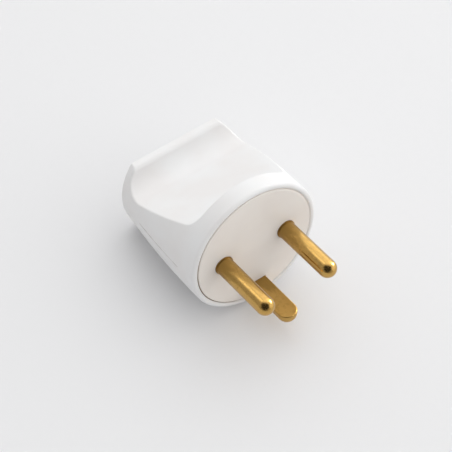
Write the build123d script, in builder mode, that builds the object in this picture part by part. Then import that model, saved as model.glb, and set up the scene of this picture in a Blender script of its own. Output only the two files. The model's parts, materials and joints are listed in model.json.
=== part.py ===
from build123d import *
import os
from math import asin, atan2, cos, degrees, sin, tan

# Rewirable earthed mains plug: two round pins, a D-shaped earth pin below them,
# a round face disc set in the mouth of a one-piece cover with a finger grip above and below.
#
# Every piece is drawn with the plug level: X across the pins, Y from the face back into
# the cover, Z up and away from the earth pin, the face in the plane Y = 0.
# The finished pieces are then laid down the way a plug rests on a table, on the shoulder
# of its lower grip and on its lower rear lip. All sizes are in millimetres.

# Cover, outside
cover_radius = 18.8
cover_length = 33.9
rear_taper = 2.05
straight_length = 2.0
rim_width = 1.5
rim_outer_round = 0.9
rim_inner_round = 0.45
edge_round = 0.5

# Finger grips, above and below
band_width = 5.2
grip_front_height = 12.6
grip_waist_height = 5.15
lip_thickness = 2.5
heel_round = 4.0
toe_round = 4.5
crest_round = 1.25

# Cover, inside
side_wall = 2.4
grip_wall = 1.5
rear_wall = 2.4
mouth_gap = 0.2
cord_hole_radius = 3.6
cord_hole_round = 0.5

# Face disc
face_thickness = 3.2
face_edge_round = 0.35

# Round pins
pin_spacing = 19.0
pin_radius = 2.4
pin_reach = 19.0
pin_root_radius = 2.6
pin_root_rise = 0.3
collar_radius = 4.0
collar_thickness = 1.2
head_radius = 3.2
head_length = 9.3
wire_hole_radius = 1.6
wire_hole_depth = 7.0

# Earth pin and its strip
earth_half_width = 2.65
earth_side_height = 0.85
earth_wall_gap = 0.34
earth_reach = 14.85
earth_edge_round = 0.3
rivet_radius = 1.5
strip_half_width = 2.75
strip_thickness = 1.2
strip_shelf_height = -4.0
strip_bend_round = 0.3

# Terminal screws
terminal_screw_radius = 1.5
terminal_head_radius = 2.25
terminal_head_height = 1.6
terminal_head_lift = 1.0
terminal_screw_setback = 3.0
guard_half_width = 1.0
guard_thickness = 0.3
guard_drop = 0.85
guard_tab = 1.6
earth_screw_radius = 1.75
earth_head_radius = 3.0
earth_head_height = 1.8
earth_screw_length = 3.6
washer_half_width = 3.2
washer_thickness = 0.8
washer_corner_round = 0.8

# Terminal frame
plate_thickness = 1.8
plate_edge_gap = 0.6
plate_half_height = 10.0
roof_thickness = 1.6
roof_edge_gap = 2.0
frame_length = 16.8
partition_thickness = 1.2
partition_length = 8.0
washer_side_gap = 0.6
pedestal_length = 6.0
pedestal_drop = 5.0

# Cord clamp
strap_nut_gap = 0.25
strap_width = 4.2
strap_thickness = 1.6
strap_corner_round = 1.6
strap_rib_width = 1.6
strap_rib_rise = 0.8
clamp_screw_inset = 2.05
clamp_screw_wall = 1.95
small_screw_radius = 1.25
small_head_radius = 2.1
small_head_height = 1.4
clamp_screw_length = 5.6
frame_screw_spacing = 19.0
frame_screw_height = 7.6
frame_screw_bite = 2.0

# Cover screws and nuts
cover_screw_inset = 8.0
cover_screw_radius = 1.5
cover_head_radius = 2.75
cover_head_height = 1.9
counterbore_depth = 2.4
boss_wall = 1.65
boss_overlap = 0.2
nut_half_width = 2.75
nut_thickness = 2.4
nut_setback = 1.8
nut_overrun = 1.0

# Fits
pin_fit = 0.05
screw_fit = 0.05
shank_clearance = 0.15
head_clearance = 0.25
seat_gap = 0.2
slot_width = 0.8
slot_depth = 0.8
screw_tip = 0.3
screw_edge_round = 0.35
radius_match = 0.01

# Places that follow from the sizes above
pin_side = pin_spacing / 2
seat_depth = face_thickness
collar_front = seat_depth - collar_thickness
head_end = seat_depth + head_length
inner_radius = cover_radius - side_wall
earth_centre_height = earth_wall_gap + earth_half_width - inner_radius
earth_flat_height = earth_centre_height + earth_side_height
earth_nose_depth = earth_half_width - earth_reach
plate_back = seat_depth + plate_thickness
roof_under = head_radius + seat_gap
partition_drop = 2 * roof_under
frame_back = seat_depth + frame_length
pedestal_front = frame_back - pedestal_length
pedestal_middle = frame_back - pedestal_length / 2
pedestal_foot = roof_under - pedestal_drop
lip_front = cover_length - lip_thickness
lip_height = grip_waist_height + toe_round + crest_round
rear_radius = cover_radius - rear_taper
mouth_radius = cover_radius - rim_width
face_radius = mouth_radius - mouth_gap
inner_back = cover_length - rear_wall
plate_radius = inner_radius - plate_edge_gap
roof_half_width = inner_radius - roof_edge_gap
cover_screw_spacing = 2 * (cover_radius - cover_screw_inset)
strap_half_length = cover_screw_spacing / 2 - nut_half_width - strap_nut_gap
clamp_screw_spacing = 2 * (strap_half_length - clamp_screw_inset)
channel_half_width = clamp_screw_spacing / 2 - clamp_screw_wall
partition_middle = washer_half_width + washer_side_gap + partition_thickness / 2
boss_radius = cover_screw_radius + boss_wall
rivet_height = earth_centre_height + earth_side_height / 2
strip_foot_height = earth_centre_height - earth_half_width
earth_screw_depth = plate_back + seat_gap + washer_half_width
strip_end = earth_screw_depth + washer_half_width
everything = 3 * cover_radius


def across(depth):
    """Plane across the plug at this depth behind the face, seen from the pins."""
    return Plane.XZ.offset(-depth)


def grip_outline(wall=0.0):
    """Side outline of the two hollows that the grips cut, grown by a wall towards the plug.

    A heel arc runs down from the band into a straight floor, a toe arc turns up from the
    floor, and a crest arc turns over onto the rear lip. The grown outline needs no lip.
    """
    toe = Vector(lip_front - toe_round, grip_waist_height + toe_round)
    corner = Vector(band_width, grip_front_height)
    toe_way = toe - corner
    slope = asin(toe_round / toe_way.length) - atan2(toe_way.Y, toe_way.X)
    heel_rise = heel_round / cos(slope) - heel_round * tan(slope)
    heel = corner + Vector(heel_round, heel_rise)
    turn = degrees(slope)
    with BuildSketch(Plane.YZ) as outline:
        with BuildLine():
            heel_arc = CenterArc(heel, heel_round + wall, 180, 90 - turn)
            toe_arc = CenterArc(toe, toe_round + wall, 270 - turn, 90 + turn)
            Line(heel_arc @ 1, toe_arc @ 0)
            end = toe_arc @ 1
            if not wall:
                crest_arc = CenterArc(end + Vector(crest_round, 0), crest_round, 180, -90)
                end = Vector(cover_length + lip_thickness, lip_height)
                Line(crest_arc @ 1, end)
            Polyline(end, (end.X, everything), ((heel_arc @ 0).X, everything), heel_arc @ 0)
        make_face()
        mirror(about=Plane.XZ)
    return outline.sketch


def earth_outline(growth=0.0):
    """Flat-topped D of the earth pin, grown by a fit, in the plane of the face."""
    half = earth_half_width + growth
    top = earth_flat_height + growth
    with BuildSketch(across(0)) as outline:
        with BuildLine():
            Polyline((half, earth_centre_height), (half, top), (-half, top), (-half, earth_centre_height))
            ThreePointArc(
                (-half, earth_centre_height),
                (0, earth_centre_height - half),
                (half, earth_centre_height),
            )
        make_face()
    return outline.sketch


def build_screw(seat, head, height, shank, length):
    """Slotted screw: the seat is the plane under its head and looks away from the thread.

    Head and shank are radii, height is the head's, and length is what stands below the seat.
    """
    side = Plane(origin=seat.origin, x_dir=seat.x_dir, z_dir=seat.x_dir.cross(seat.z_dir))
    with BuildPart() as screw:
        with BuildSketch(side):
            with BuildLine():
                FilletPolyline((0, height), (head, height), (head, 0), radius=screw_edge_round)
                Polyline(
                    (head, 0),
                    (shank, 0),
                    (shank, screw_tip - length),
                    (shank - screw_tip, -length),
                    (0, -length),
                    (0, height),
                )
            make_face()
        revolve(axis=Axis(seat.origin, seat.z_dir))
        with BuildSketch(seat.offset(height - slot_depth)):
            Rectangle(2 * head, slot_width)
        extrude(amount=slot_depth, mode=Mode.SUBTRACT)
    return screw


# Rest: the plug leans back until the edge of its lower grip and its lower rear lip touch
# one flat surface. Both edges have the same rounding, so the surface is parallel to the
# line through the middles of the two roundings.
shoulder_along = band_width - edge_round
shoulder_drop = cover_radius - edge_round
lip_along = cover_length - edge_round
lip_drop = lip_height - edge_round
lean = atan2(shoulder_drop - lip_drop, lip_along - shoulder_along)
rest_height = edge_round + shoulder_drop * cos(lean) + shoulder_along * sin(lean)
front_reach = (pin_reach - pin_radius) * cos(lean) + pin_radius
rear_reach = lip_along * cos(lean) + lip_drop * sin(lean) + edge_round
rest = Location((0, (front_reach - rear_reach) / 2, rest_height), (-degrees(lean), 0, 0))

finished = []


def finish(piece, label):
    """Lays a finished piece down with the plug, names it and keeps it for writing."""
    piece.part.move(rest)
    piece.part.label = label
    finished.append(piece.part)


# Cover: a turned outline, hollowed from the face, with a grip cut above and below

with BuildPart() as cavity:
    inner_rear = rear_radius - side_wall
    with BuildSketch(Plane.XY):
        with BuildLine():
            Polyline((0, inner_back), (0, 0), (inner_radius, 0), (inner_radius, straight_length))
            TangentArc((inner_radius, straight_length), (inner_rear, inner_back), tangent=(0, 1))
            Line((inner_rear, inner_back), (0, inner_back))
        make_face()
        Rectangle(everything, 2 * seat_depth, mode=Mode.SUBTRACT)
    revolve(axis=Axis.Y)
    extrude(grip_outline(grip_wall), amount=everything, both=True, mode=Mode.SUBTRACT)

with BuildPart() as cover:
    with BuildSketch(Plane.XY):
        with BuildLine():
            Line((0, cover_length), (0, 0))
            FilletPolyline(
                (0, 0),
                (cover_radius, 0),
                (cover_radius, straight_length),
                radius=rim_outer_round,
            )
            TangentArc((cover_radius, straight_length), (rear_radius, cover_length), tangent=(0, 1))
            Line((rear_radius, cover_length), (0, cover_length))
        make_face()
    revolve(axis=Axis.Y)
    extrude(grip_outline(), amount=everything, both=True, mode=Mode.SUBTRACT)
    grip_edges = cover.edges(Select.LAST).filter_by(GeomType.LINE, reverse=True)
    rear_edges = cover.faces().sort_by(Axis.Y)[-1].edges()
    fillet(ShapeList(set(grip_edges + rear_edges)), radius=edge_round)
    with BuildSketch(across(0)):
        Circle(mouth_radius)
    extrude(amount=-seat_depth, mode=Mode.SUBTRACT)
    add(cavity.part, mode=Mode.SUBTRACT)
    with BuildSketch(across(frame_back + seat_gap)):
        with GridLocations(cover_screw_spacing, 0, 2, 1):
            Circle(boss_radius)
    extrude(amount=frame_back + seat_gap - inner_back - boss_overlap)
    with BuildSketch(across(cover_length)):
        with GridLocations(cover_screw_spacing, 0, 2, 1):
            Circle(cover_screw_radius + shank_clearance)
    extrude(amount=cover_length - frame_back, mode=Mode.SUBTRACT)
    with BuildSketch(across(cover_length)):
        with GridLocations(cover_screw_spacing, 0, 2, 1):
            Circle(cover_head_radius + head_clearance)
    extrude(amount=counterbore_depth, mode=Mode.SUBTRACT)
    with BuildSketch(across(cover_length)):
        Circle(cord_hole_radius)
    extrude(amount=cover_length - inner_back, mode=Mode.SUBTRACT)
    cord_edge = cover.faces().sort_by(Axis.Y)[-1].edges().filter_by(GeomType.CIRCLE)
    cord_edge = cord_edge.filter_by(lambda edge: abs(edge.radius - cord_hole_radius) < radius_match)
    fillet(cord_edge, radius=cord_hole_round)
    mouth_edge = cover.faces().filter_by(across(0)).sort_by(Axis.Y)[0].inner_wires().edges()
    fillet(mouth_edge, radius=rim_inner_round)
finish(cover, "cover")


# Face disc: holes for the pins, seats for their collars and a recess for the earth strip

with BuildPart() as face_disc:
    with BuildSketch(across(0)):
        Circle(face_radius)
    extrude(amount=-face_thickness)
    fillet(face_disc.faces().sort_by(Axis.Y)[0].edges(), radius=face_edge_round)
    with BuildSketch(across(0)):
        with GridLocations(pin_spacing, 0, 2, 1):
            Circle(pin_root_radius + pin_fit)
    extrude(amount=-face_thickness, mode=Mode.SUBTRACT)
    with BuildSketch(across(face_thickness)):
        with GridLocations(pin_spacing, 0, 2, 1):
            Circle(collar_radius + pin_fit)
    extrude(amount=collar_thickness, mode=Mode.SUBTRACT)
    extrude(earth_outline(pin_fit), amount=-face_thickness, mode=Mode.SUBTRACT)
    with BuildSketch(across(face_thickness)):
        with Locations((0, (strip_foot_height + strip_shelf_height) / 2)):
            Rectangle(
                2 * (strip_half_width + pin_fit),
                strip_shelf_height - strip_foot_height + 2 * pin_fit,
            )
    extrude(amount=strip_thickness, mode=Mode.SUBTRACT)
    with BuildSketch(across(face_thickness)):
        with Locations((0, frame_screw_height)):
            with GridLocations(frame_screw_spacing, 0, 2, 1):
                Circle(small_screw_radius + screw_fit)
    extrude(amount=frame_screw_bite + seat_gap, mode=Mode.SUBTRACT)
finish(face_disc, "face_disc")


# Round pins, turned from brass with a slightly thicker root in the disc, each with the
# screw and the leaf that hold its wire

for side, name in ((-1, "live"), (1, "neutral")):
    pin_axis = Plane(origin=(side * pin_side, 0, 0))
    screw_depth = head_end - terminal_screw_setback
    hole_front = head_end - wire_hole_depth

    with BuildPart() as pin:
        with BuildSketch(pin_axis):
            with BuildLine():
                CenterArc((0, pin_radius - pin_reach), pin_radius, -90, 90)
                Polyline(
                    (pin_radius, pin_radius - pin_reach),
                    (pin_radius, -pin_root_rise),
                    (pin_root_radius, -pin_root_rise),
                    (pin_root_radius, collar_front),
                    (collar_radius, collar_front),
                    (collar_radius, seat_depth),
                    (head_radius, seat_depth),
                    (head_radius, head_end),
                    (0, head_end),
                    (0, -pin_reach),
                )
            make_face()
        revolve(axis=Axis(pin_axis.origin, (0, 1, 0)))
        with BuildSketch(across(head_end)):
            with Locations((side * pin_side, 0)):
                Circle(wire_hole_radius)
        extrude(amount=wire_hole_depth, mode=Mode.SUBTRACT)
        with BuildSketch(Plane.XY):
            with Locations((side * pin_side, screw_depth)):
                Circle(terminal_screw_radius + screw_fit)
        extrude(amount=-head_radius, mode=Mode.SUBTRACT)
    finish(pin, f"{name}_pin")

    with BuildPart() as guard:
        with BuildSketch(Plane.YZ.offset(side * pin_side)):
            with BuildLine():
                Polyline(
                    (hole_front + seat_gap, -guard_drop),
                    (hole_front + seat_gap, -guard_drop - guard_thickness),
                    (head_end, -guard_drop - guard_thickness),
                    (head_end, -guard_drop - guard_tab),
                    (head_end + guard_thickness, -guard_drop - guard_tab),
                    (head_end + guard_thickness, -guard_drop),
                    close=True,
                )
            make_face()
        extrude(amount=guard_half_width, both=True)
    finish(guard, f"{name}_wire_guard")

    head_seat = Plane(
        origin=(side * pin_side, screw_depth, -head_radius - terminal_head_lift),
        x_dir=(1, 0, 0),
        z_dir=(0, 0, -1),
    )
    thread = head_radius + terminal_head_lift - guard_drop - guard_thickness
    terminal_screw = build_screw(
        head_seat, terminal_head_radius, terminal_head_height, terminal_screw_radius, thread
    )
    finish(terminal_screw, f"{name}_terminal_screw")


# Earth pin: a D-shaped bar with a rounded nose, riveted to a bent strip

with BuildPart() as earth_pin:
    extrude(earth_outline(), amount=-earth_nose_depth)
    extrude(earth_outline(), amount=-collar_front)
    with BuildSketch(Plane.XY.offset(earth_centre_height)):
        with Locations((0, earth_nose_depth)):
            Circle(earth_half_width)
    extrude(amount=earth_side_height)
    with Locations((0, earth_nose_depth, earth_centre_height)):
        Sphere(earth_half_width)
    with BuildSketch(Plane.XY.offset(earth_flat_height)):
        Rectangle(everything, everything)
    extrude(amount=earth_half_width, mode=Mode.SUBTRACT)
    fillet(earth_pin.faces().sort_by(Axis.Z)[-1].edges().sort_by(Axis.Y)[:-1], radius=earth_edge_round)
    with BuildSketch(across(collar_front)):
        with Locations((0, rivet_height)):
            Circle(rivet_radius)
    extrude(amount=-strip_thickness)
finish(earth_pin, "earth_pin")

with BuildPart() as earth_strip:
    with BuildSketch(Plane.YZ):
        with BuildLine():
            FilletPolyline(
                (collar_front, strip_foot_height),
                (collar_front, strip_shelf_height),
                (strip_end, strip_shelf_height),
                radius=strip_bend_round + strip_thickness,
            )
            FilletPolyline(
                (strip_end, strip_shelf_height - strip_thickness),
                (seat_depth, strip_shelf_height - strip_thickness),
                (seat_depth, strip_foot_height),
                radius=strip_bend_round,
            )
            Line((seat_depth, strip_foot_height), (collar_front, strip_foot_height))
            Line(
                (strip_end, strip_shelf_height),
                (strip_end, strip_shelf_height - strip_thickness),
            )
        make_face()
    extrude(amount=strip_half_width, both=True)
    with BuildSketch(across(collar_front)):
        with Locations((0, rivet_height)):
            Circle(rivet_radius)
    extrude(amount=-strip_thickness, mode=Mode.SUBTRACT)
    with BuildSketch(Plane.XY.offset(strip_shelf_height)):
        with Locations((0, earth_screw_depth)):
            Circle(earth_screw_radius + screw_fit)
    extrude(amount=-strip_thickness, mode=Mode.SUBTRACT)
finish(earth_strip, "earth_strip")

with BuildPart() as earth_washer:
    with BuildSketch(Plane.XY.offset(strip_shelf_height - strip_thickness)):
        with Locations((0, earth_screw_depth)):
            RectangleRounded(2 * washer_half_width, 2 * washer_half_width, washer_corner_round)
            Circle(earth_screw_radius + shank_clearance, mode=Mode.SUBTRACT)
    extrude(amount=-washer_thickness)
finish(earth_washer, "earth_clamp_washer")

earth_screw = build_screw(
    Plane(
        origin=(0, earth_screw_depth, strip_shelf_height - strip_thickness - washer_thickness),
        x_dir=(1, 0, 0),
        z_dir=(0, 0, -1),
    ),
    earth_head_radius,
    earth_head_height,
    earth_screw_radius,
    earth_screw_length,
)
finish(earth_screw, "earth_terminal_screw")


# Terminal frame: a plate that traps the pins, a roof over the terminals with walls
# between them, and two pedestals for the cord clamp and the cover screws' nuts

with BuildPart() as frame:
    with BuildSketch(across(seat_depth)):
        Circle(plate_radius)
        Rectangle(2 * plate_radius, 2 * plate_half_height, mode=Mode.INTERSECT)
    extrude(amount=-plate_thickness)
    with BuildSketch(Plane.XY.offset(roof_under)):
        with Locations((0, (plate_back + frame_back) / 2)):
            Rectangle(2 * roof_half_width, frame_back - plate_back)
    extrude(amount=roof_thickness)
    outer_roof = frame.edges().filter_by(Axis.Y).group_by(Axis.Z)[-1]
    chamfer(outer_roof, length=roof_thickness / 2)
    for side in (-1, 1):
        with BuildSketch(Plane.XY.offset(roof_under)):
            with Locations((side * (channel_half_width + roof_half_width) / 2, pedestal_middle)):
                Rectangle(roof_half_width - channel_half_width, pedestal_length)
        extrude(amount=-pedestal_drop)
        partition_side = side * partition_middle
        with BuildSketch(Plane.XY.offset(roof_under)):
            with Locations((partition_side, plate_back + partition_length / 2)):
                Rectangle(partition_thickness, partition_length)
        extrude(amount=-partition_drop)
    with BuildSketch(across(seat_depth)):
        with GridLocations(pin_spacing, 0, 2, 1):
            Circle(head_radius + seat_gap)
        with Locations((0, frame_screw_height)):
            with GridLocations(frame_screw_spacing, 0, 2, 1):
                Circle(small_screw_radius + shank_clearance)
        with Locations((0, strip_shelf_height - strip_thickness / 2)):
            Rectangle(
                2 * (strip_half_width + seat_gap),
                strip_thickness + 2 * (strip_bend_round + seat_gap),
            )
    extrude(amount=-plate_thickness, mode=Mode.SUBTRACT)
    with BuildSketch(across(frame_back)):
        with GridLocations(cover_screw_spacing, 0, 2, 1):
            Circle(cover_screw_radius + shank_clearance)
    extrude(amount=pedestal_length, mode=Mode.SUBTRACT)
    with BuildSketch(Plane.XY.offset(nut_half_width + screw_fit)):
        with Locations((0, frame_back - nut_setback - nut_thickness / 2)):
            with GridLocations(cover_screw_spacing, 0, 2, 1):
                Rectangle(2 * (nut_half_width + screw_fit), nut_thickness + 2 * screw_fit)
    extrude(amount=-everything, mode=Mode.SUBTRACT)
    with BuildSketch(Plane.XY.offset(pedestal_foot)):
        with Locations((0, pedestal_middle)):
            with GridLocations(clamp_screw_spacing, 0, 2, 1):
                Circle(small_screw_radius + screw_fit)
    extrude(amount=clamp_screw_length - strap_thickness + seat_gap, mode=Mode.SUBTRACT)
finish(frame, "terminal_frame")

for side, name in ((-1, "left"), (1, "right")):
    frame_screw = build_screw(
        Plane(
            origin=(side * frame_screw_spacing / 2, plate_back, frame_screw_height),
            x_dir=(1, 0, 0),
            z_dir=(0, 1, 0),
        ),
        small_head_radius,
        small_head_height,
        small_screw_radius,
        plate_thickness + frame_screw_bite,
    )
    finish(frame_screw, f"{name}_frame_screw")


# Cord clamp: a strap with a gripping rib, screwed to the pedestals from below

with BuildPart() as strap:
    with BuildSketch(Plane.XY.offset(pedestal_foot)):
        with Locations((0, pedestal_middle)):
            RectangleRounded(2 * strap_half_length, strap_width, strap_corner_round)
    extrude(amount=-strap_thickness)
    with BuildSketch(Plane.YZ):
        with BuildLine():
            Polyline(
                (pedestal_middle - strap_rib_width, pedestal_foot - strap_thickness / 2),
                (pedestal_middle, pedestal_foot + strap_rib_rise),
                (pedestal_middle + strap_rib_width, pedestal_foot - strap_thickness / 2),
                close=True,
            )
        make_face()
    extrude(amount=channel_half_width - seat_gap, both=True)
    with BuildSketch(Plane.XY.offset(pedestal_foot)):
        with Locations((0, pedestal_middle)):
            with GridLocations(clamp_screw_spacing, 0, 2, 1):
                Circle(small_screw_radius + shank_clearance)
    extrude(amount=-strap_thickness, mode=Mode.SUBTRACT)
finish(strap, "cord_clamp_strap")

for side, name in ((-1, "left"), (1, "right")):
    clamp_screw = build_screw(
        Plane(
            origin=(side * clamp_screw_spacing / 2, pedestal_middle, pedestal_foot - strap_thickness),
            x_dir=(1, 0, 0),
            z_dir=(0, 0, -1),
        ),
        small_head_radius,
        small_head_height,
        small_screw_radius,
        clamp_screw_length,
    )
    finish(clamp_screw, f"{name}_clamp_screw")


# Cover screws, let into the rear face on either side of the cord hole, and their nuts

for side, name in ((-1, "left"), (1, "right")):
    cover_screw = build_screw(
        Plane(
            origin=(side * cover_screw_spacing / 2, cover_length - counterbore_depth, 0),
            x_dir=(1, 0, 0),
            z_dir=(0, 1, 0),
        ),
        cover_head_radius,
        cover_head_height,
        cover_screw_radius,
        cover_length - counterbore_depth - frame_back + nut_setback + nut_thickness + nut_overrun,
    )
    finish(cover_screw, f"{name}_cover_screw")

    with BuildPart() as nut:
        with BuildSketch(across(frame_back - nut_setback)):
            with Locations((side * cover_screw_spacing / 2, 0)):
                Rectangle(2 * nut_half_width, 2 * nut_half_width)
                Circle(cover_screw_radius + screw_fit, mode=Mode.SUBTRACT)
        extrude(amount=nut_thickness)
    finish(nut, f"{name}_cover_nut")


os.makedirs("parts", exist_ok=True)
for piece in finished:
    export_step(piece, f"parts/{piece.label}.step")
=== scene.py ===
"""Looks of a rewirable earthed mains plug, laid out as an add-on and run as a script."""

import json
import math

import bmesh
import bpy
import numpy as np
from bpy.props import FloatProperty, FloatVectorProperty, IntProperty, PointerProperty
from mathutils import Matrix, Vector


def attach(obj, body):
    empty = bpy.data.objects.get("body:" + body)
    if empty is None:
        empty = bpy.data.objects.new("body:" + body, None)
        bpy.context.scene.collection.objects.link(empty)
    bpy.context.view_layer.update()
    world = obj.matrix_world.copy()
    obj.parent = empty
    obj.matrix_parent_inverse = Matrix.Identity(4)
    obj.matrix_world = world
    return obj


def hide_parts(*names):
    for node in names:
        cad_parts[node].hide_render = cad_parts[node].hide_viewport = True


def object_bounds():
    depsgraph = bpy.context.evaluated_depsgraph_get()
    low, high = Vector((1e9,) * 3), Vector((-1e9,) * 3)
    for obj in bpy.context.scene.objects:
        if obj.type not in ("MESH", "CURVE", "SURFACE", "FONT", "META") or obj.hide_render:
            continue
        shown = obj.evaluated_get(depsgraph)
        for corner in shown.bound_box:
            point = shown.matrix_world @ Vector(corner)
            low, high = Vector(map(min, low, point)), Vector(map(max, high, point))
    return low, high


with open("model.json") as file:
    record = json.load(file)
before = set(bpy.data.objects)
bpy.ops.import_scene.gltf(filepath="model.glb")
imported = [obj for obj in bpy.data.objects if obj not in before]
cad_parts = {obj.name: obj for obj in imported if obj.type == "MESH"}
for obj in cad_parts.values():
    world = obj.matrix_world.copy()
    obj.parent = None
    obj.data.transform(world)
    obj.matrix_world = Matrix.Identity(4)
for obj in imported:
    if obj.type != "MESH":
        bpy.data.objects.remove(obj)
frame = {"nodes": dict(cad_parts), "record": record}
cad_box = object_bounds()

bl_info = {
    "name": "Rewirable Mains Plug Finishes",
    "version": (1, 0, 0),
    "blender": (4, 5, 0),
    "location": "3D View > Sidebar > Plug",
    "description": "Finishes, mould seam, groove dust, screw threads and studio for a round-pin mains plug",
    "category": "Object",
}

MM = 0.001


def mount(name):
    """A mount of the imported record."""
    return next(m for m in frame["record"]["mounts"] if m["name"] == name)


# The level plug has X across the pins, Y from the face back into the cover and Z up, with
# its origin in the middle of the face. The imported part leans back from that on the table.
FORWARD = Vector(mount("face")["axis"])
LEAN = math.atan2(FORWARD.z, -FORWARD.y)
FACE_MIDDLE = Vector(mount("face")["pos_m"])
PLUG_TO_ROW = Matrix.Translation(FACE_MIDDLE) @ Matrix.Rotation(-LEAN, 4, "X")
ROW_TO_PLUG = PLUG_TO_ROW.inverted()

# The way from each screw's head to its tip, on the level plug
SCREW_WAYS = {
    "live_terminal_screw": (0, 0, 1),
    "neutral_terminal_screw": (0, 0, 1),
    "earth_terminal_screw": (0, 0, 1),
    "left_clamp_screw": (0, 0, 1),
    "right_clamp_screw": (0, 0, 1),
    "left_frame_screw": (0, -1, 0),
    "right_frame_screw": (0, -1, 0),
    "left_cover_screw": (0, -1, 0),
    "right_cover_screw": (0, -1, 0),
}

# A thread's depth and half its width, each as a share of its pitch
THREAD_DEPTH_SHARE = 0.55
THREAD_HALF_WIDTH_SHARE = 0.44

# Roughness of the brass where the socket rubs it. The earth pin's flat is rubbed less.
RUBBED_ROUGHNESS = {"live_pin": 0.13, "neutral_pin": 0.13, "earth_pin": 0.34}

# What shiny pieces see of the studio besides its plain walls. Azimuth runs from +Y towards
# +X, and each patch is full to its inner angle and gone at its outer one, in degrees.
ROOM_PATCHES = {
    "dark wall on the left": {"azimuth": -75, "elevation": 0, "inner": 30, "outer": 75, "strength": 0.5},
    "dark camera side": {"azimuth": -133, "elevation": 58, "inner": 42, "outer": 56, "strength": 0.04},
    "window on the right": {"azimuth": 70, "elevation": 14, "inner": 18, "outer": 40, "strength": 2.0},
    "strip lamp behind": {"azimuth": -12, "elevation": 38, "inner": 5, "outer": 14, "strength": 2.2},
    "bare lamp on the right": {"azimuth": 88, "elevation": 22, "inner": 7, "outer": 14, "strength": 20.0},
}


def linear(code):
    """An sRGB hex colour as linear red, green, blue and alpha."""
    parts = [int(code[i : i + 2], 16) / 255 for i in (1, 3, 5)]
    return [c / 12.92 if c <= 0.04045 else ((c + 0.055) / 1.055) ** 2.4 for c in parts] + [1.0]


def shaded(colour, share):
    """A darker shade of a linear colour, as red, green, blue and alpha."""
    return [c * share for c in colour[:3]] + [1.0]


def colour_property(name, description, code):
    """A colour that a user may change, with an sRGB hex default."""
    return FloatVectorProperty(
        name=name, description=description, default=linear(code), size=4, subtype="COLOR", min=0, max=1
    )


def length_property(name, description, millimetres):
    """A length that a user may change, with its default in millimetres."""
    return FloatProperty(
        name=name, description=description, default=millimetres * MM, subtype="DISTANCE", unit="LENGTH"
    )


def angle_property(name, description, degrees):
    """An angle that a user may change, with its default in degrees."""
    return FloatProperty(
        name=name, description=description, default=math.radians(degrees), subtype="ANGLE", unit="ROTATION"
    )


def power_property(name, description, watts):
    """A lamp's power that a user may change, with its default in watts."""
    return FloatProperty(name=name, description=description, default=watts, subtype="POWER", unit="POWER")


class PlugPlasticSettings(bpy.types.PropertyGroup):
    """Moulded pieces and the seam that the mould leaves on the cover."""

    cover_colour: colour_property("Cover", "Cool white of the cover", "#F0F0F0")
    cover_tint: colour_property("Cover Tint", "Slightly warmer white in faint clouds", "#EDEBEA")
    face_colour: colour_property("Face Disc", "Warmer white of the face disc", "#F3EDE6")
    face_tint: colour_property("Face Disc Tint", "Cloudier shade in the face disc", "#EFE8E1")
    frame_colour: colour_property("Frame", "Cream of the terminal frame and the cord strap", "#DED8C9")
    # Painted shade: the seam's two greys, both darker than the cover, stand in for the dark line that the
    # seam shows in shade.
    seam_paler_shade: colour_property("Clean Seam", "Mould seam where it has caught little dust", "#D9D5D2")
    seam_darker_shade: colour_property("Seam Stain", "Mould seam where it has caught more dust", "#ABA5A1")
    # Painted shade: the brown is the groove's shaded side and the pale colour its lit side.
    groove_shaded_dust: colour_property("Groove Dust", "Brown dust in the groove round the face disc", "#857261")
    groove_lit_side: colour_property("Groove Clean", "Groove where little dust has settled", "#E6DFD8")
    groove_width: length_property("Groove Width", "Gap between the face disc and the rim", 0.2)
    groove_depth: length_property("Groove Depth", "How far the dust lies behind the face", 0.42)
    rear_radius: length_property("Rear Radius", "Cover's radius at its rear face", 16.75)
    straight_length: length_property("Straight Length", "Straight front of the cover's outline", 2.0)
    seam_width: length_property("Seam Width", "Width of the raised mould seam", 0.26)
    seam_height: length_property("Seam Height", "How far the mould seam stands up", 0.045)
    seam_margin: length_property("Seam Margin", "Length at the rear where the seam doesn't show", 9.5)


class PlugMetalSettings(bpy.types.PropertyGroup):
    """Brass and plated pieces, and the threads of the screws."""

    brass_colour: colour_property("Brass", "Rubbed brass of the pins", "#C7A05B")
    tarnish_colour: colour_property("Tarnish", "Browner brass where the socket doesn't rub it", "#9F7E44")
    strip_colour: colour_property("Strip Brass", "Rolled brass of the earth strip", "#D8B262")
    steel_colour: colour_property("Plated Steel", "Zinc-plated steel of screws and nuts", "#C4C4BF")
    pitch_share: FloatProperty(
        name="Pitch Share", description="Thread pitch as a share of the screw's diameter",
        default=0.17, subtype="FACTOR",
    )
    thread_turn_points: IntProperty(
        name="Points Per Turn", description="Points round each turn of a thread", default=24
    )


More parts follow.
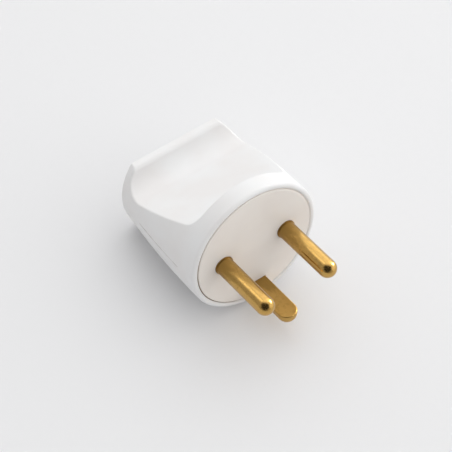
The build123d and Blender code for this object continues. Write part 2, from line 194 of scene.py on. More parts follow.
class PlugStageSettings(bpy.types.PropertyGroup):
    """Floor, light and camera."""

    floor_colour: colour_property("Floor", "Pale paper under the plug", "#EDEDEE")
    floor_radius: length_property("Floor Radius", "Radius of the round floor", 4000)
    room_strength: FloatProperty(
        name="Room Strength", description="Mean light from the white room", default=0.62
    )
    room_slope: FloatProperty(
        name="Room Slope", description="How much brighter the room is on its window side", default=0.42
    )
    bright_azimuth: angle_property("Bright Azimuth", "Where the room is brightest, from +Y towards +X", 66)
    bright_elevation: angle_property("Bright Elevation", "How high the room is brightest", 42)
    lamp_size: length_property("Lamp Size", "Side of each square soft lamp", 650)
    lamp_distance: length_property("Lamp Distance", "Distance of each lamp from the plug", 600)
    key_power: power_property("Key Power", "High lamp's power", 0.8)
    key_azimuth: angle_property("Key Azimuth", "Where the high lamp hangs, from +Y towards +X", 50)
    key_elevation: angle_property("Key Elevation", "How high the high lamp hangs", 62)
    side_power: power_property("Side Power", "Low lamp's power", 0.62)
    side_azimuth: angle_property("Side Azimuth", "Where the low lamp hangs, from +Y towards +X", 124)
    side_elevation: angle_property("Side Elevation", "How high the low lamp hangs", 20)
    camera_azimuth: angle_property("Camera Azimuth", "Way the camera looks, from +Y towards +X", 46.72)
    camera_elevation: angle_property("Camera Elevation", "How far the camera looks down", 59.54)
    camera_roll: angle_property("Camera Roll", "Turn of the camera about its view, to the left", 12.40)
    camera_distance: length_property("Camera Distance", "From the aimed point to the lens", 470.9)
    camera_aim: FloatVectorProperty(
        name="Camera Aim", description="Point that the middle of the picture shows",
        default=(-2.02 * MM, 0.70 * MM, 18.0 * MM), subtype="XYZ", unit="LENGTH",
    )
    camera_lens: FloatProperty(
        name="Lens", description="Focal length on a sensor 36 mm wide", default=151.2,
        subtype="DISTANCE_CAMERA", unit="CAMERA",
    )


def add_node(tree, kind, inputs=None, **attributes):
    """Adds a node with its settings.

    A value in inputs is a number or colour, a socket to link, or a node whose first output
    in use is linked. A list of sockets or nodes goes into one joining input."""
    made = tree.nodes.new(kind)
    for name, value in attributes.items():
        setattr(made, name, value)
    for key, value in (inputs or {}).items():
        joined = value if isinstance(value, list) else [value]
        if not isinstance(joined[0], (bpy.types.Node, bpy.types.NodeSocket)):
            made.inputs[key].default_value = value
            continue
        for source in joined:
            if isinstance(source, bpy.types.Node):
                source = next(socket for socket in source.outputs if socket.enabled)
            tree.links.new(source, made.inputs[key])
    return made


def new_material(name):
    """An empty node material and its tree."""
    material = bpy.data.materials.new(name)
    material.use_nodes = True
    material.node_tree.nodes.clear()
    return material, material.node_tree


def end_material(tree, inputs):
    """Ends a material's tree with its surface shader."""
    shader = add_node(tree, "ShaderNodeBsdfPrincipled", inputs)
    add_node(tree, "ShaderNodeOutputMaterial", {"Surface": shader})


def plug_coordinates(tree, origin=FACE_MIDDLE):
    """The level plug's coordinates in metres, from a point of the row frame."""
    row = add_node(tree, "ShaderNodeTexCoord").outputs["Object"]
    inputs = {"Vector": row, "Location": origin, "Rotation": (-LEAN, 0, 0)}
    return add_node(tree, "ShaderNodeMapping", inputs, vector_type="TEXTURE")


def moulded_plastic(name, colour, tint, roughness, grain_size, grain_depth, cloud_size=11 * MM):
    """A moulded plastic: faint clouds in the colour, a gloss that varies and a fine mould grain."""
    material, tree = new_material(name)
    at = plug_coordinates(tree)
    clouds = add_node(tree, "ShaderNodeTexNoise", {"Vector": at, "Scale": 1 / cloud_size, "Detail": 2.0})
    share = add_node(tree, "ShaderNodeMapRange", {"Value": clouds, "From Min": 0.35, "From Max": 0.65})
    mix = add_node(tree, "ShaderNodeMix", {0: share, 6: colour, 7: tint}, data_type="RGBA")
    handled_size = 4 * MM
    handling = add_node(tree, "ShaderNodeTexNoise", {"Vector": at, "Scale": 1 / handled_size, "Detail": 4.0})
    gloss = add_node(tree, "ShaderNodeMapRange", {
        "Value": handling, "From Min": 0.3, "From Max": 0.7,
        "To Min": roughness - 0.05, "To Max": roughness + 0.06,
    })
    # Spark-eroded mould grain is near 0.05 mm, and is drawn coarser so that it shows.
    grain = add_node(tree, "ShaderNodeTexNoise", {"Vector": at, "Scale": 1 / grain_size, "Detail": 3.0})
    bump = add_node(tree, "ShaderNodeBump", {"Height": grain, "Distance": grain_depth})
    end_material(tree, {"Base Color": mix, "Roughness": gloss, "IOR": 1.5, "Normal": bump})
    return material


def dust_with_painted_shade(name, settings, radius):
    """Dust in a groove: matte clumps, with painted shade that makes it brown on the live pin's side and pale
    on the other.
    """
    material, tree = new_material(name)
    at = plug_coordinates(tree)
    # Painted shade: the colour is brown towards -X, where the groove lies in shade, and pale towards +X. The
    # dust clumps make the edge ragged.
    side = add_node(tree, "ShaderNodeSeparateXYZ", {"Vector": at}).outputs["X"]
    clump_size, clump_depth = 3 * MM, 0.01 * MM
    clumps = add_node(tree, "ShaderNodeTexNoise", {"Vector": at, "Scale": 1 / clump_size, "Detail": 3.0})
    reach = 0.35 * radius
    shift = add_node(tree, "ShaderNodeMapRange", {
        "Value": clumps, "From Min": 0.3, "From Max": 0.7, "To Min": -reach, "To Max": reach,
    })
    uneven = add_node(tree, "ShaderNodeMath", {0: side, 1: shift}, operation="ADD")
    lit_share = add_node(tree, "ShaderNodeMapRange", {
        "Value": uneven, "From Min": -0.55 * radius, "From Max": 0.5 * radius,
    })
    mix = add_node(tree, "ShaderNodeMix", {
        0: lit_share, 6: settings.groove_shaded_dust, 7: settings.groove_lit_side,
    }, data_type="RGBA")
    bump = add_node(tree, "ShaderNodeBump", {"Height": clumps, "Distance": clump_depth})
    end_material(tree, {"Base Color": mix, "Roughness": 0.95, "Specular IOR Level": 0.2, "Normal": bump})
    return material


def turned_brass(name, settings, origin, reach, rubbed):
    """Brass bar turned on a lathe and then used: dull and browner at its root, rubbed bright
    further out, with fine marks round it from the tool and scratches along it from the socket."""
    material, tree = new_material(name)
    at = plug_coordinates(tree, origin)
    depth = add_node(tree, "ShaderNodeSeparateXYZ", {"Vector": at}).outputs["Y"]
    long = add_node(tree, "ShaderNodeMapping", {"Vector": at, "Scale": (1, 0.35, 1)})
    blotch_size = 2.4 * MM
    wander = add_node(tree, "ShaderNodeTexNoise", {
        "Vector": long, "Scale": 1 / blotch_size, "Detail": 5.0, "Roughness": 0.62,
    })
    spread = 0.22 * reach
    shift = add_node(tree, "ShaderNodeMapRange", {
        "Value": wander, "From Min": 0.25, "From Max": 0.75, "To Min": -spread, "To Max": spread,
    })
    ragged = add_node(tree, "ShaderNodeMath", {0: depth, 1: shift}, operation="ADD")
    root = add_node(tree, "ShaderNodeMapRange", {
        "Value": ragged, "From Min": -0.4 * reach, "From Max": -0.2 * reach, "To Min": 0.0, "To Max": 0.85,
    })
    speck_size = 0.8 * MM
    specks = add_node(tree, "ShaderNodeTexNoise", {"Vector": at, "Scale": 1 / speck_size, "Detail": 4.0})
    spots = add_node(tree, "ShaderNodeMapRange", {
        "Value": specks, "From Min": 0.5, "From Max": 0.72, "To Min": 0.0, "To Max": 0.35,
    })
    dull = add_node(tree, "ShaderNodeMath", {0: root, 1: spots}, operation="MAXIMUM")
    mix = add_node(tree, "ShaderNodeMix", {
        0: dull, 6: settings.brass_colour, 7: settings.tarnish_colour,
    }, data_type="RGBA")
    # Socket scratches and tool marks are finer than 0.05 mm, and are drawn wider to show.
    scratch_width, scratch_depth = 0.15 * MM, 0.007 * MM
    along = add_node(tree, "ShaderNodeMapping", {"Vector": at, "Scale": (1, 0.03, 1)})
    scratches = add_node(tree, "ShaderNodeTexNoise", {
        "Vector": along, "Scale": 1 / scratch_width, "Detail": 3.0, "Roughness": 0.7,
    })
    tool_spacing, tool_depth = 0.12 * MM, 0.002 * MM
    round_about = add_node(tree, "ShaderNodeMapping", {"Vector": at, "Scale": (0.05, 1, 0.05)})
    tool_marks = add_node(tree, "ShaderNodeTexNoise", {"Vector": round_about, "Scale": 1 / tool_spacing})
    worn = add_node(tree, "ShaderNodeMapRange", {
        "Value": scratches, "From Min": 0.3, "From Max": 0.7, "To Min": rubbed, "To Max": rubbed + 0.16,
    })
    gloss = add_node(tree, "ShaderNodeMath", {0: dull, 1: 0.2, 2: worn}, operation="MULTIPLY_ADD")
    marks = add_node(tree, "ShaderNodeBump", {"Height": tool_marks, "Distance": tool_depth})
    bump = add_node(tree, "ShaderNodeBump", {
        "Height": scratches, "Distance": scratch_depth, "Normal": marks,
    })
    end_material(tree, {"Base Color": mix, "Metallic": 1.0, "Roughness": gloss, "Normal": bump})
    return material


def rolled_brass(name, settings):
    """Strip brass as it comes from the rolls: satin, with faint lines along the strip."""
    material, tree = new_material(name)
    at = plug_coordinates(tree)
    # Rolling lines are finer than 0.05 mm, and are drawn wider so that they show.
    line_spacing, line_depth = 0.14 * MM, 0.006 * MM
    along = add_node(tree, "ShaderNodeMapping", {"Vector": at, "Scale": (1, 0.05, 0.05)})
    lines = add_node(tree, "ShaderNodeTexNoise", {"Vector": along, "Scale": 1 / line_spacing, "Detail": 3.0})
    stain_size = 2.5 * MM
    blotches = add_node(tree, "ShaderNodeTexNoise", {"Vector": at, "Scale": 1 / stain_size, "Detail": 4.0})
    stain = add_node(tree, "ShaderNodeMapRange", {
        "Value": blotches, "From Min": 0.4, "From Max": 0.7, "To Min": 0.0, "To Max": 0.5,
    })
    mix = add_node(tree, "ShaderNodeMix", {
        0: stain, 6: settings.strip_colour, 7: settings.tarnish_colour,
    }, data_type="RGBA")
    gloss = add_node(tree, "ShaderNodeMapRange", {
        "Value": lines, "From Min": 0.3, "From Max": 0.7, "To Min": 0.28, "To Max": 0.46,
    })
    bump = add_node(tree, "ShaderNodeBump", {"Height": lines, "Distance": line_depth})
    end_material(tree, {"Base Color": mix, "Metallic": 1.0, "Roughness": gloss, "Normal": bump})
    return material


def plated_steel(name, settings):
    """Zinc-plated steel: grey-white, satin, with the fine crystals of the plating."""
    material, tree = new_material(name)
    at = plug_coordinates(tree)
    blotch_size = 1.6 * MM
    blotches = add_node(tree, "ShaderNodeTexNoise", {"Vector": at, "Scale": 1 / blotch_size, "Detail": 3.0})
    share = add_node(tree, "ShaderNodeMapRange", {"Value": blotches, "From Min": 0.35, "From Max": 0.7})
    mix = add_node(tree, "ShaderNodeMix", {
        0: share, 6: settings.steel_colour, 7: shaded(settings.steel_colour, 0.8),
    }, data_type="RGBA")
    # Zinc crystals are finer than 0.05 mm, and are drawn coarser so that they show.
    crystal_size, crystal_depth = 0.25 * MM, 0.004 * MM
    crystals = add_node(tree, "ShaderNodeTexNoise", {"Vector": at, "Scale": 1 / crystal_size, "Detail": 4.0})
    gloss = add_node(tree, "ShaderNodeMapRange", {
        "Value": crystals, "From Min": 0.3, "From Max": 0.7, "To Min": 0.3, "To Max": 0.48,
    })
    bump = add_node(tree, "ShaderNodeBump", {"Height": crystals, "Distance": crystal_depth})
    end_material(tree, {"Base Color": mix, "Metallic": 1.0, "Roughness": gloss, "Normal": bump})
    return material


def pale_paper(name, settings):
    """Matte paper: nearly even, with the faintest clouds and no shine."""
    material, tree = new_material(name)
    at = add_node(tree, "ShaderNodeTexCoord").outputs["Object"]
    cloud_size = 60 * MM
    clouds = add_node(tree, "ShaderNodeTexNoise", {"Vector": at, "Scale": 1 / cloud_size})
    mix = add_node(tree, "ShaderNodeMix", {
        0: clouds, 6: settings.floor_colour, 7: shaded(settings.floor_colour, 0.985),
    }, data_type="RGBA")
    patch_size = 5 * MM
    patches = add_node(tree, "ShaderNodeTexNoise", {"Vector": at, "Scale": 1 / patch_size})
    gloss = add_node(tree, "ShaderNodeMapRange", {"Value": patches, "To Min": 0.65, "To Max": 0.8})
    end_material(tree, {"Base Color": mix, "Roughness": gloss, "Specular IOR Level": 0.3})
    return material


def dress(names, material):
    """Gives CAD nodes their material."""
    for name in names:
        for slot in frame["nodes"][name].material_slots:
            slot.material = material


def level_points(name):
    """A CAD node's points in the level plug's frame, as rows of an array."""
    mesh = frame["nodes"][name].data
    points = np.empty(len(mesh.vertices) * 3)
    mesh.vertices.foreach_get("co", points)
    turned = np.array(ROW_TO_PLUG)
    return points.reshape(-1, 3) @ turned[:3, :3].T + turned[:3, 3]


def level_corners(name):
    """Lowest and highest corner of a CAD node in the level plug's frame."""
    points = level_points(name)
    return Vector(points.min(0)), Vector(points.max(0))


def linked(name, data):
    """A new object in the scene."""
    made = bpy.data.objects.new(name, data)
    bpy.context.scene.collection.objects.link(made)
    return made


def path_curve(name, points, closed=False):
    """A curve of straight runs through points of the level plug."""
    curve = bpy.data.curves.new(name, "CURVE")
    curve.dimensions = "3D"
    spline = curve.splines.new("POLY")
    spline.points.add(len(points) - 1)
    spline.use_cyclic_u = closed
    for point, place in zip(spline.points, points):
        point.co = (*place, 1)
    return curve


def new_geometry_tree(name, inputs):
    """A Geometry Nodes tree with named inputs, and the outputs of its input node."""
    tree = bpy.data.node_groups.new(name, "GeometryNodeTree")
    tree.interface.new_socket("Geometry", in_out="INPUT", socket_type="NodeSocketGeometry")
    for label, kind in inputs.items():
        tree.interface.new_socket(label, in_out="INPUT", socket_type="NodeSocket" + kind)
    tree.interface.new_socket("Geometry", in_out="OUTPUT", socket_type="NodeSocketGeometry")
    return tree, add_node(tree, "NodeGroupInput").outputs


def end_geometry_tree(tree, geometry, material):
    """Ends a tree with real geometry in one material."""
    real = add_node(tree, "GeometryNodeRealizeInstances", {"Geometry": geometry})
    dressed = add_node(tree, "GeometryNodeSetMaterial", {"Geometry": real, "Material": material})
    add_node(tree, "NodeGroupOutput", {"Geometry": dressed})


def grown(name, data, tree, values, place):
    """A plain mesh object from a Geometry Nodes tree run on the data.

    The modifier goes with its source object, and the place is put in the mesh."""
    source = linked(name + "_source", data)
    modifier = source.modifiers.new("Grow", "NODES")
    modifier.node_group = tree
    for socket in tree.interface.items_tree:
        if socket.in_out == "INPUT" and socket.name in values:
            modifier[socket.identifier] = values[socket.name]
    evaluated = source.evaluated_get(bpy.context.evaluated_depsgraph_get())
    mesh = bpy.data.meshes.new_from_object(evaluated)
    if not mesh.polygons:
        raise RuntimeError(f"the node tree made no faces for {name}")
    bpy.data.objects.remove(source)
    mesh.name = name
    mesh.transform(place)
    return linked(name, mesh)


def seam_tree():
    """Sweeps a low ridge along a path and repeats it on the other side of the plug."""
    tree, given = new_geometry_tree("mould_seam", {
        "Width": "Float", "Height": "Float", "Material": "Material",
    })
    path = add_node(tree, "GeometryNodeSetCurveNormal", {"Curve": given["Geometry"]}, mode="Z_UP")
    ring = add_node(tree, "GeometryNodeCurvePrimitiveCircle", {"Resolution": 8, "Radius": 1.0})
    half_width = add_node(tree, "ShaderNodeMath", {0: given["Width"], 1: 2.0}, operation="DIVIDE")
    shape = add_node(tree, "ShaderNodeCombineXYZ", {"X": given["Height"], "Y": half_width, "Z": 1.0})
    profile = add_node(tree, "GeometryNodeTransform", {"Geometry": ring, "Scale": shape})
    ridge = add_node(tree, "GeometryNodeCurveToMesh", {
        "Curve": path, "Profile Curve": profile, "Fill Caps": True,
    })
    # A half turn about the plug's own axis brings the ridge to the other side.
    other = add_node(tree, "GeometryNodeTransform", {"Geometry": ridge, "Rotation": (0, math.pi, 0)})
    both = add_node(tree, "GeometryNodeJoinGeometry", {"Geometry": [ridge, other]})
    end_geometry_tree(tree, both, given["Material"])
    return tree


def seam_path(settings):
    """The cover's side outline as a curve in the level plug's frame.

    The outline runs straight back from the face and then bends in on one arc to the rear.
    The seam starts where the arc has dropped by the seam's height, so it stays as slim as
    the cover's straight front."""
    side = cad_box[1].x
    length = level_corners("cover")[1].y
    arc_length = length - settings.straight_length
    drop = side - settings.rear_radius
    bend = (arc_length**2 + drop**2) / (2 * drop)
    start = math.sqrt(bend**2 - (bend - settings.seam_height) ** 2)
    end = arc_length - settings.seam_margin
    steps = 40
    points = []
    for i in range(steps + 1):
        along = start + (end - start) * i / steps
        across = side - bend + math.sqrt(bend**2 - along**2)
        points.append((across, settings.straight_length + along, 0))
    return path_curve("seam_path", points)


def groove_tree():
    """Sweeps a round bead along a closed path."""
    tree, given = new_geometry_tree("groove_bead", {"Bead Radius": "Float", "Material": "Material"})
    ring = add_node(tree, "GeometryNodeCurvePrimitiveCircle", {
        "Resolution": 10, "Radius": given["Bead Radius"],
    })
    bead = add_node(tree, "GeometryNodeCurveToMesh", {"Curve": given["Geometry"], "Profile Curve": ring})
    end_geometry_tree(tree, bead, given["Material"])
    return tree


def groove_path(radius, depth):
    """A circle behind the face, as a closed curve in the level plug's frame."""
    steps = 160
    turns = [2 * math.pi * i / steps for i in range(steps)]
    points = [(radius * math.cos(turn), depth, radius * math.sin(turn)) for turn in turns]
    return path_curve("groove_path", points, closed=True)


def thread_tree():
    """Slims a screw's shank to the root of its thread and winds a right-hand thread round it.

    The screw stands head up on its own axis, with the seat of its head at the origin. One
    pitch of its shank stays plain below the seat, and one at the tip."""
    tree, given = new_geometry_tree("screw_thread", {
        "Shank Radius": "Float", "Root Radius": "Float", "Thread Length": "Float",
        "Pitch": "Float", "Points Per Turn": "Int", "Material": "Material",
    })
    # The shank is all that is slender and below the seat.
    place = add_node(tree, "GeometryNodeInputPosition")
    flat = add_node(tree, "ShaderNodeVectorMath", {0: place, 1: (1, 1, 0)}, operation="MULTIPLY")
    across = add_node(tree, "ShaderNodeVectorMath", {0: flat}, operation="LENGTH").outputs["Value"]
    limit = add_node(tree, "ShaderNodeMath", {0: given["Shank Radius"], 1: 1.02}, operation="MULTIPLY")
    slender = add_node(tree, "ShaderNodeMath", {0: across, 1: limit}, operation="LESS_THAN")
    height = add_node(tree, "ShaderNodeSeparateXYZ", {"Vector": place}).outputs["Z"]
    low = add_node(tree, "ShaderNodeMath", {0: height, 1: 0.01 * MM}, operation="LESS_THAN")
    on_shank = add_node(tree, "ShaderNodeMath", {0: slender, 1: low}, operation="MULTIPLY")
    share = add_node(tree, "ShaderNodeMath", {
        0: given["Root Radius"], 1: given["Shank Radius"],
    }, operation="DIVIDE")
    slimming = add_node(tree, "ShaderNodeCombineXYZ", {"X": share, "Y": share, "Z": 1.0})
    slim = add_node(tree, "ShaderNodeVectorMath", {0: place, 1: slimming}, operation="MULTIPLY")
    core = add_node(tree, "GeometryNodeSetPosition", {
        "Geometry": given["Geometry"], "Selection": on_shank, "Position": slim,
    })
    turns = add_node(tree, "ShaderNodeMath", {
        0: given["Thread Length"], 1: given["Pitch"],
    }, operation="DIVIDE")
    # The node's own spiral is left-handed, so it is reversed.
    spiral = add_node(tree, "GeometryNodeCurveSpiral", {
        "Resolution": given["Points Per Turn"], "Rotations": turns,
        "Start Radius": given["Root Radius"], "End Radius": given["Root Radius"],
        "Height": given["Thread Length"], "Reverse": True,
    })
    drop = add_node(tree, "ShaderNodeMath", {
        0: given["Thread Length"], 1: given["Pitch"],
    }, operation="ADD")
    foot = add_node(tree, "ShaderNodeCombineXYZ", {"Z": drop})
    below = add_node(tree, "ShaderNodeVectorMath", {0: foot, 1: (0, 0, -1)}, operation="MULTIPLY")
    wound = add_node(tree, "GeometryNodeTransform", {"Geometry": spiral, "Translation": below})
    upright = add_node(tree, "GeometryNodeSetCurveNormal", {"Curve": wound}, mode="Z_UP")
    depth = add_node(tree, "ShaderNodeMath", {
        0: given["Shank Radius"], 1: given["Root Radius"],
    }, operation="SUBTRACT")
    half_width = add_node(tree, "ShaderNodeMath", {
        0: given["Pitch"], 1: THREAD_HALF_WIDTH_SHARE,
    }, operation="MULTIPLY")
    # A ring of four points, drawn wide, is the ridge of a thread with its inner half sunk.
    ring = add_node(tree, "GeometryNodeCurvePrimitiveCircle", {"Resolution": 4, "Radius": 1.0})
    flanks = add_node(tree, "ShaderNodeCombineXYZ", {"X": depth, "Y": half_width, "Z": 1.0})
    profile = add_node(tree, "GeometryNodeTransform", {"Geometry": ring, "Scale": flanks})
    thread = add_node(tree, "GeometryNodeCurveToMesh", {
        "Curve": upright, "Profile Curve": profile, "Fill Caps": True,
    })
    whole = add_node(tree, "GeometryNodeJoinGeometry", {"Geometry": [core, thread]})
    end_geometry_tree(tree, whole, given["Material"])
    return tree


def measure_screw(name, way):
    """Where a screw's seat is, its shank radius and the length below the seat.

    The far end of a screw is all shank, and whatever is wider than that is its head."""
    low, high = level_corners(name)
    middle = (low + high) / 2
    points = level_points(name) - np.array(middle)
    along = points @ np.array(way)
    across = np.linalg.norm(points - np.outer(along, way), axis=1)
    far_end, wider = 0.6, 1.05
    shank_radius = across[along > far_end * along.max()].max()
    seat_along = along[across > wider * shank_radius].max()
    return middle + Vector(way) * seat_along, float(shank_radius), float(along.max() - seat_along)


def merged_copy(name, to_frame):
    """A copy of a CAD node's mesh with its double points merged, in another frame."""
    work = bmesh.new()
    work.from_mesh(frame["nodes"][name].data)
    bmesh.ops.transform(work, matrix=to_frame, verts=work.verts)
    bmesh.ops.remove_doubles(work, verts=work.verts, dist=0.002 * MM)
    copy = bpy.data.meshes.new(name + "_copy")
    work.to_mesh(copy)
    work.free()
    return copy


class PLUG_OT_mould_cover(bpy.types.Operator):
    """Gives the cover its satin white and the fine seam along each side"""

    bl_idname = "plug.mould_cover"
    bl_label = "Mould Cover"

    def execute(self, context):
        settings = context.scene.plug_plastic
        # Urea moulding: cool white, satin, so highlights are soft and broad.
        material = moulded_plastic(
            "satin_urea_cover", settings.cover_colour, settings.cover_tint,
            roughness=0.56, grain_size=0.35 * MM, grain_depth=0.003 * MM,
        )
        dress(["cover"], material)
        # The seam has the cover's plastic in greys darker than the cover along its whole length: painted
        # shade, so that it shows as a dark line.
        seam_painted_shade = moulded_plastic(
            "urea_seam_painted_shade", settings.seam_paler_shade, settings.seam_darker_shade,
            roughness=0.6, grain_size=0.35 * MM, grain_depth=0.003 * MM, cloud_size=2.5 * MM,
        )
        values = {"Width": settings.seam_width, "Height": settings.seam_height, "Material": seam_painted_shade}
        seam = grown("cover_mould_seam", seam_path(settings), seam_tree(), values, PLUG_TO_ROW)
        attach(seam, "root")
        return {"FINISHED"}


class PLUG_OT_mould_face_disc(bpy.types.Operator):
    """Gives the face disc its warmer white, with dust in the groove round it that is brown with painted
    shade on one side
    """

    bl_idname = "plug.mould_face_disc"
    bl_label = "Mould Face Disc"

    def execute(self, context):
        settings = context.scene.plug_plastic
        # Heat-proof thermoset: warmer and a little glossier than the cover.
        material = moulded_plastic(
            "warm_urea_face", settings.face_colour, settings.face_tint,
            roughness=0.45, grain_size=0.4 * MM, grain_depth=0.004 * MM,
        )
        dress(["face_disc"], material)
        # Dust fills the groove below its rounded edges, a little wider than the gap between them.
        radius = level_corners("face_disc")[1].x + settings.groove_width / 2
        bead_radius = 0.7 * settings.groove_width
        # The dust's colour holds painted shade: brown on the groove's shaded side, pale on its lit side.
        dust = dust_with_painted_shade("groove_dust_painted_shade", settings, radius)
        values = {"Bead Radius": bead_radius, "Material": dust}
        path = groove_path(radius, settings.groove_depth)
        bead = grown("face_groove_dust", path, groove_tree(), values, PLUG_TO_ROW)
        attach(bead, "root")
        return {"FINISHED"}


class PLUG_OT_mould_terminal_frame(bpy.types.Operator):
    """Gives the terminal frame and the cord strap their matte cream"""

    bl_idname = "plug.mould_terminal_frame"
    bl_label = "Mould Terminal Frame"

    def execute(self, context):
        settings = context.scene.plug_plastic
        # Filled nylon: matte, with a rougher grain than the outside pieces.
        material = moulded_plastic(
            "filled_nylon_frame", settings.frame_colour, shaded(settings.frame_colour, 0.94),
            roughness=0.6, grain_size=0.3 * MM, grain_depth=0.01 * MM,
        )
        dress(["terminal_frame", "cord_clamp_strap"], material)
        return {"FINISHED"}


class PLUG_OT_turn_pins(bpy.types.Operator):
    """Gives the three pins their turned and rubbed brass"""

    bl_idname = "plug.turn_pins"
    bl_label = "Turn Pins"

    def execute(self, context):
        settings = context.scene.plug_metal
        for name, rubbed in RUBBED_ROUGHNESS.items():
            low, high = level_corners(name)
            foot = PLUG_TO_ROW @ Vector(((low.x + high.x) / 2, 0, (low.z + high.z) / 2))
            dress([name], turned_brass("turned_brass_" + name, settings, foot, -low.y, rubbed))
        return {"FINISHED"}


class PLUG_OT_roll_earth_strip(bpy.types.Operator):
    """Gives the earth strip its rolled brass"""

    bl_idname = "plug.roll_earth_strip"
    bl_label = "Roll Earth Strip"

    def execute(self, context):
        dress(["earth_strip"], rolled_brass("rolled_brass_strip", context.scene.plug_metal))
        return {"FINISHED"}


class PLUG_OT_plate_small_parts(bpy.types.Operator):
    """Plates the washer, nuts and wire guards"""

    bl_idname = "plug.plate_small_parts"
    bl_label = "Plate Small Parts"

    def execute(self, context):
        material = plated_steel("zinc_plated_steel", context.scene.plug_metal)
        dress(["earth_clamp_washer", "left_cover_nut", "right_cover_nut"], material)
        dress(["live_wire_guard", "neutral_wire_guard"], material)
        return {"FINISHED"}


class PLUG_OT_thread_screws(bpy.types.Operator):
    """Winds a thread round each screw's shank"""

    bl_idname = "plug.thread_screws"
    bl_label = "Thread Screws"

    def execute(self, context):
        settings = context.scene.plug_metal
        material = plated_steel("zinc_plated_screw_steel", settings)
        dress(SCREW_WAYS, material)
        tree = thread_tree()
        for name, way in SCREW_WAYS.items():
            seat, shank_radius, length = measure_screw(name, way)
            turn = (-Vector(way)).to_track_quat("Z", "Y").to_matrix().to_4x4()
            screw_to_row = PLUG_TO_ROW @ Matrix.Translation(seat) @ turn
            pitch = settings.pitch_share * 2 * shank_radius
            values = {
                "Shank Radius": shank_radius,
                "Root Radius": shank_radius - THREAD_DEPTH_SHARE * pitch,
                "Thread Length": length - 2 * pitch,
                "Pitch": pitch,
                "Points Per Turn": settings.thread_turn_points,
                "Material": material,
            }
            copy = merged_copy(name, screw_to_row.inverted())
            piece = grown(name + "_threaded", copy, tree, values, screw_to_row)
            # The edges of the head, its slot and the thread's crest stay crisp.
            for face in piece.data.polygons:
                face.use_smooth = False
            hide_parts(name)
            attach(piece, "root")
        return {"FINISHED"}


class PLUG_OT_set_stage(bpy.types.Operator):
    """Lays the floor and sets the lamps, the room and the camera"""

    bl_idname = "plug.set_stage"
    bl_label = "Set Stage"

    def execute(self, context):
        settings = context.scene.plug_stage
        lay_floor(settings)
        light_room(context.scene, settings)
        hang_lamp("high_lamp", settings, settings.key_power, settings.key_azimuth, settings.key_elevation)
        hang_lamp("side_lamp", settings, settings.side_power, settings.side_azimuth, settings.side_elevation)
        aim_camera(context.scene, settings)
        context.scene.view_settings.view_transform = "Standard"
        return {"FINISHED"}


def lay_floor(settings):
    """A wide round sheet of pale paper."""
    work = bmesh.new()
    bmesh.ops.create_circle(work, cap_ends=True, radius=settings.floor_radius, segments=96)
    mesh = bpy.data.meshes.new("paper_floor")
    work.to_mesh(mesh)
    work.free()
    mesh.materials.append(pale_paper("pale_matte_paper", settings))
    floor = linked("paper_floor", mesh)


def compass(azimuth, elevation):
    """A direction from its azimuth, from +Y towards +X, and its elevation."""
    level = math.cos(elevation)
    return Vector((math.sin(azimuth) * level, math.cos(azimuth) * level, math.sin(elevation)))


def light_room(scene, settings):
    """A white room, brighter on one side, with patches that only shiny pieces mirror. The
    camera sees the floor's own shade past the floor."""
    world = bpy.data.worlds.new("white_room")
    world.use_nodes = True
    tree = world.node_tree
    tree.nodes.clear()
    way = add_node(tree, "ShaderNodeTexCoord").outputs["Generated"]
    brightest = compass(settings.bright_azimuth, settings.bright_elevation)
    facing = add_node(tree, "ShaderNodeVectorMath", {0: way, 1: brightest}, operation="DOT_PRODUCT")
    walls = add_node(tree, "ShaderNodeMath", {
        0: facing.outputs["Value"], 1: settings.room_slope, 2: settings.room_strength,
    }, operation="MULTIPLY_ADD")
    mirrored = walls
    for patch in ROOM_PATCHES.values():
        towards = compass(math.radians(patch["azimuth"]), math.radians(patch["elevation"]))
        nearness = add_node(tree, "ShaderNodeVectorMath", {0: way, 1: towards}, operation="DOT_PRODUCT")
        share = add_node(tree, "ShaderNodeMapRange", {
            "Value": nearness.outputs["Value"],
            "From Min": math.cos(math.radians(patch["outer"])),
            "From Max": math.cos(math.radians(patch["inner"])),
        })
        mirrored = add_node(tree, "ShaderNodeMix", {0: share, 2: mirrored, 3: patch["strength"]})
    path = add_node(tree, "ShaderNodeLightPath").outputs
    room = add_node(tree, "ShaderNodeBackground", {"Color": (1, 1, 1, 1), "Strength": walls})
    studio = add_node(tree, "ShaderNodeBackground", {"Color": (1, 1, 1, 1), "Strength": mirrored})
    seen = add_node(tree, "ShaderNodeBackground", {"Color": settings.floor_colour, "Strength": 1.0})
    lit = add_node(tree, "ShaderNodeMixShader", {0: path["Is Glossy Ray"], 1: room, 2: studio})
    whole = add_node(tree, "ShaderNodeMixShader", {0: path["Is Camera Ray"], 1: lit, 2: seen})
    add_node(tree, "ShaderNodeOutputWorld", {"Surface": whole})
    scene.world = world


def hang_lamp(name, settings, power, azimuth, elevation):
    """A large soft lamp that shines on the plug from this direction."""
    way = compass(azimuth, elevation)
    data = bpy.data.lights.new(name, "AREA")
    data.energy = power
    data.size = settings.lamp_size
    lamp = linked(name, data)
    lamp.location = way * settings.lamp_distance
    lamp.rotation_mode = "QUATERNION"
    lamp.rotation_quaternion = (-way).to_track_quat("-Z", "Y")


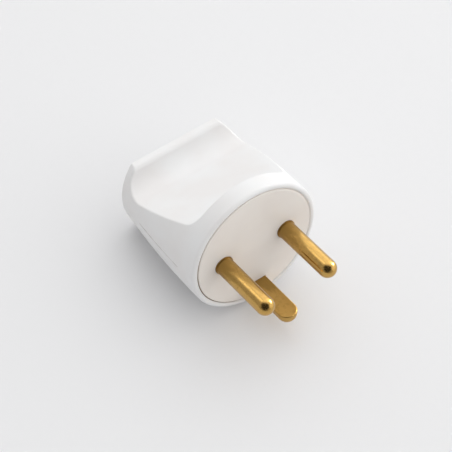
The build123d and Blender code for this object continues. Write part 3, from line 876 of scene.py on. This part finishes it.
def aim_camera(scene, settings):
    """Sets the camera at the picture's viewing angle."""
    look = compass(settings.camera_azimuth, -settings.camera_elevation)
    data = bpy.data.cameras.new("camera")
    data.lens = settings.camera_lens
    data.sensor_width = 36
    data.clip_start, data.clip_end = 0.01, 20
    camera = linked("camera", data)
    camera.rotation_mode = "QUATERNION"
    upright = look.to_track_quat("-Z", "Y")
    camera.rotation_quaternion = Matrix.Rotation(-settings.camera_roll, 3, look).to_quaternion() @ upright
    camera.location = Vector(settings.camera_aim) - look * settings.camera_distance
    scene.camera = camera


class PLUG_PT_finishes(bpy.types.Panel):
    """Lists the plug's sizes, colours and steps"""

    bl_label = "Mains Plug"
    bl_idname = "PLUG_PT_finishes"
    bl_space_type = "VIEW_3D"
    bl_region_type = "UI"
    bl_category = "Plug"

    def draw(self, context):
        for group in GROUPS:
            box = self.layout.box()
            for name in GROUPS[group].__annotations__:
                box.prop(getattr(context.scene, group), name)
        for operator in OPERATORS:
            self.layout.operator(operator.bl_idname)


GROUPS = {
    "plug_plastic": PlugPlasticSettings,
    "plug_metal": PlugMetalSettings,
    "plug_stage": PlugStageSettings,
}
OPERATORS = (
    PLUG_OT_mould_cover,
    PLUG_OT_mould_face_disc,
    PLUG_OT_mould_terminal_frame,
    PLUG_OT_turn_pins,
    PLUG_OT_roll_earth_strip,
    PLUG_OT_plate_small_parts,
    PLUG_OT_thread_screws,
    PLUG_OT_set_stage,
)


def register():
    """Registers the settings, the operators and the panel."""
    for group, kind in GROUPS.items():
        bpy.utils.register_class(kind)
        setattr(bpy.types.Scene, group, PointerProperty(type=kind))
    for kind in (*OPERATORS, PLUG_PT_finishes):
        bpy.utils.register_class(kind)


def unregister():
    """Takes back what register added, in the opposite order."""
    for kind in (PLUG_PT_finishes, *reversed(OPERATORS)):
        bpy.utils.unregister_class(kind)
    for group, kind in reversed(GROUPS.items()):
        delattr(bpy.types.Scene, group)
        bpy.utils.unregister_class(kind)


def main():
    """Makes the pieces and the stage."""
    register()
    bpy.ops.plug.mould_cover()
    bpy.ops.plug.mould_face_disc()
    bpy.ops.plug.mould_terminal_frame()
    bpy.ops.plug.turn_pins()
    bpy.ops.plug.roll_earth_strip()
    bpy.ops.plug.plate_small_parts()
    bpy.ops.plug.thread_screws()
    bpy.ops.plug.set_stage()


if __name__ == "__main__":
    main()
